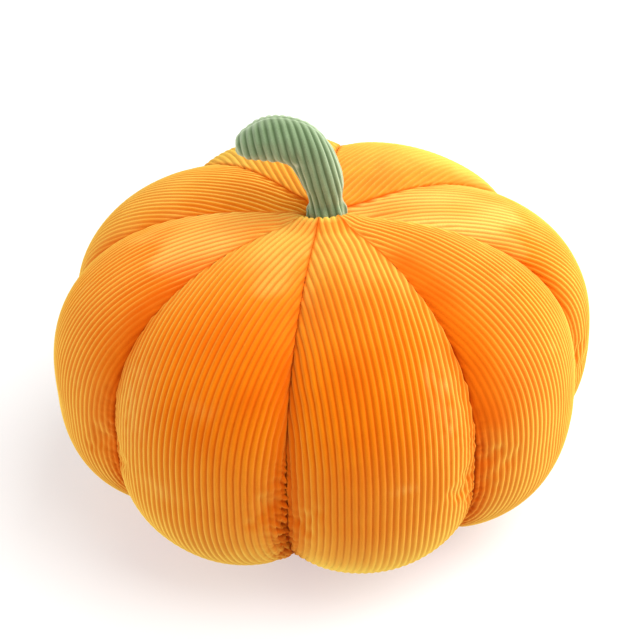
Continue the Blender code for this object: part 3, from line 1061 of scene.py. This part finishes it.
def area_light(name, place, aim, size, power, colour):
    """A square soft light that faces a point."""
    data = bpy.data.lights.new(name, "AREA")
    data.shape = "SQUARE"
    data.size = size
    data.energy = power
    data.color = colour
    lamp = bpy.data.objects.new(name, data)
    lamp.location = place
    lamp.rotation_euler = (Vector(aim) - Vector(place)).to_track_quat("-Z", "Y").to_euler()
    bpy.context.scene.collection.objects.link(lamp)


def studio_floor():
    """A wide, plain floor that glows a little, just under the cushion."""
    bm = bmesh.new()
    bmesh.ops.create_grid(bm, x_segments=1, y_segments=1, size=FLOOR_REACH,
                          matrix=Matrix.Translation((0.0, 0.0, -FLOOR_GAP)))
    mesh = bpy.data.meshes.new("floor")
    bm.to_mesh(mesh)
    bm.free()
    floor = bpy.data.objects.new("floor", mesh)
    bpy.context.scene.collection.objects.link(floor)
    paint = bpy.data.materials.new("floor_paint")
    paint.use_nodes = True
    shader = paint.node_tree.nodes["Principled BSDF"]
    shader.inputs["Base Color"].default_value = (0.50, 0.50, 0.50, 1.0)
    shader.inputs["Emission Color"].default_value = (1.0, 1.0, 1.0, 1.0)
    shader.inputs["Emission Strength"].default_value = 0.50
    shader.inputs["Roughness"].default_value = 0.9
    shader.inputs["Specular IOR Level"].default_value = 0.1
    mesh.materials.append(paint)


def studio_sky():
    """An even, nearly white light from all round."""
    world = bpy.data.worlds.new("studio")
    world.use_nodes = True
    sky = world.node_tree.nodes["Background"]
    sky.inputs["Color"].default_value = SKY_COLOUR
    sky.inputs["Strength"].default_value = SKY_STRENGTH
    bpy.context.scene.world = world


def studio_camera():
    """The camera at the photograph's viewing angle."""
    camera = bpy.data.objects.new("camera", bpy.data.cameras.new("camera"))
    bpy.context.scene.collection.objects.link(camera)
    rise, roll = math.radians(CAMERA_RISE), math.radians(CAMERA_ROLL)
    back = Vector((0.0, -math.cos(rise), math.sin(rise)))
    right = Vector((1.0, 0.0, 0.0))
    up = back.cross(right)
    rows = (right * math.cos(roll) + up * math.sin(roll), up * math.cos(roll) - right * math.sin(roll), back)
    place = Vector(PLACE) + Vector(CAMERA_AIM) + back * CAMERA_DISTANCE
    camera.matrix_world = Matrix.Translation(place) @ Matrix(rows).transposed().to_4x4()
    camera.data.lens = CAMERA_LENS
    camera.data.sensor_width = CAMERA_SENSOR
    camera.data.sensor_fit = "HORIZONTAL"
    bpy.context.scene.camera = camera


class CUSHION_OT_studio(bpy.types.Operator):
    """Sets the pale floor, the soft lights and the camera"""

    bl_idname = "cushion.studio"
    bl_label = "Studio"

    def execute(self, context):
        studio_floor()
        studio_sky()
        for light in LIGHTS:
            area_light(*light)
        studio_camera()
        context.scene.view_settings.view_transform = "Standard"
        return {"FINISHED"}


class CUSHION_PT_panel(bpy.types.Panel):
    """Lists the cushion's pieces and its sizes"""

    bl_idname = "CUSHION_PT_panel"
    bl_label = "Pumpkin cushion"
    bl_space_type = "VIEW_3D"
    bl_region_type = "UI"
    bl_category = "Cushion"

    def draw(self, context):
        for group in (context.scene.cushion_sizes, context.scene.cushion_colours):
            for key in type(group).__annotations__:
                self.layout.prop(group, key)
        for operator in OPERATORS:
            self.layout.operator(operator.bl_idname)


OPERATORS = (CUSHION_OT_body, CUSHION_OT_stitches, CUSHION_OT_stem, CUSHION_OT_studio)
CLASSES = (ClothSizes, ClothColours) + OPERATORS + (CUSHION_PT_panel,)


def register():
    for item in CLASSES:
        bpy.utils.register_class(item)
    bpy.types.Scene.cushion_sizes = bpy.props.PointerProperty(type=ClothSizes)
    bpy.types.Scene.cushion_colours = bpy.props.PointerProperty(type=ClothColours)


def unregister():
    del bpy.types.Scene.cushion_colours
    del bpy.types.Scene.cushion_sizes
    for item in reversed(CLASSES):
        bpy.utils.unregister_class(item)


def main():
    """Builds the cushion and its studio."""
    register()
    bpy.ops.cushion.body()
    bpy.ops.cushion.stitches()
    bpy.ops.cushion.stem()
    bpy.ops.cushion.studio()


if __name__ == "__main__":
    main()
